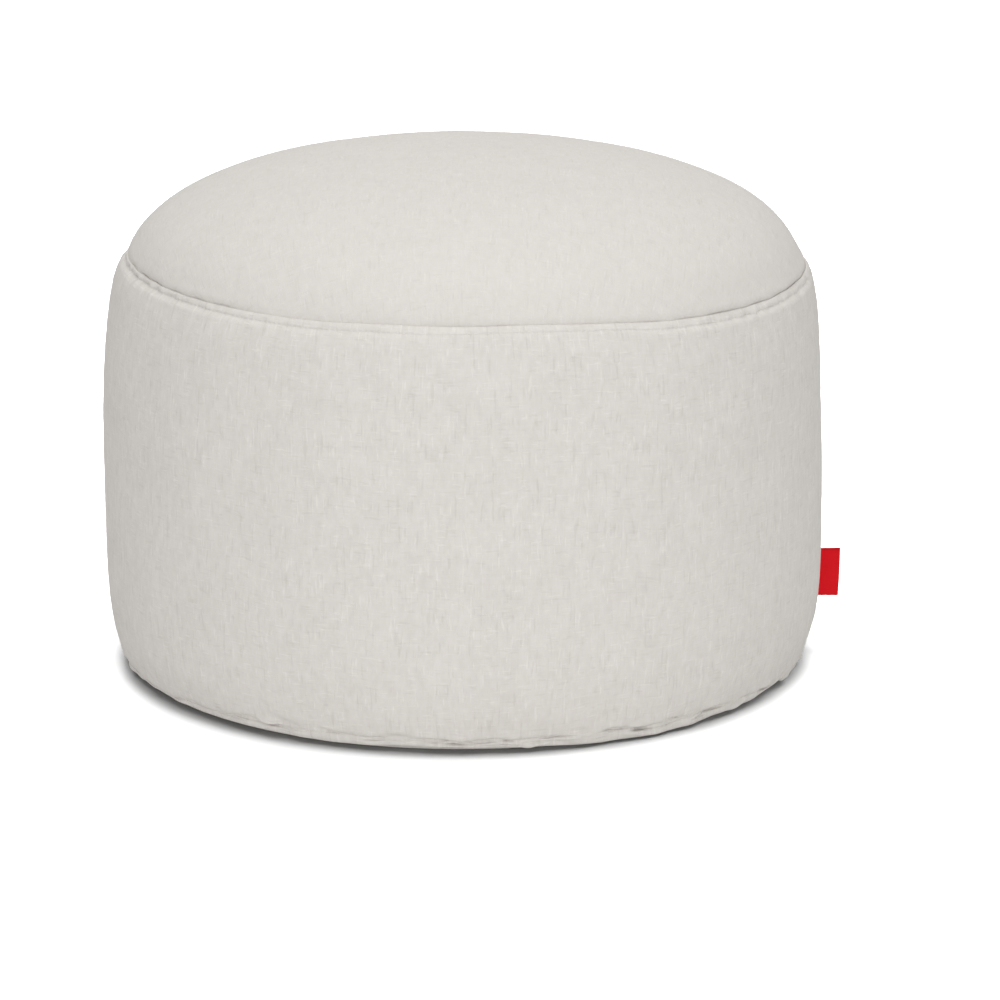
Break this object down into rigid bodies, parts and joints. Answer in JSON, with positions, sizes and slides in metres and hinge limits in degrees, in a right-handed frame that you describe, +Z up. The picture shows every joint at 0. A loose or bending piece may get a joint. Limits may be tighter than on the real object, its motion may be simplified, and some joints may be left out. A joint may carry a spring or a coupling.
{
  "type": "bean bag footstool",
  "caption": "Round filled canvas footstool with a crowned top panel, a tall side band, a flat base and a folded ribbon tab in the side seam.",
  "frame": {"origin": "centre of the base panel's underside, on the floor", "axes": "+Z up through the crown, +X towards the side seam and its tab, -Y the front in the picture"},
  "size_m": [0.5155, 0.4999, 0.359],
  "materials": {
    "canvas": "matt linen-look canvas, off-white melange with slubs",
    "ribbon": "plain red woven ribbon with a slight satin sheen"
  },
  "bodies": {
    "root": {"top_panel": "canvas", "side_band": "canvas", "base_panel": "canvas", "side_tab": "ribbon"}
  },
  "joints": []
}
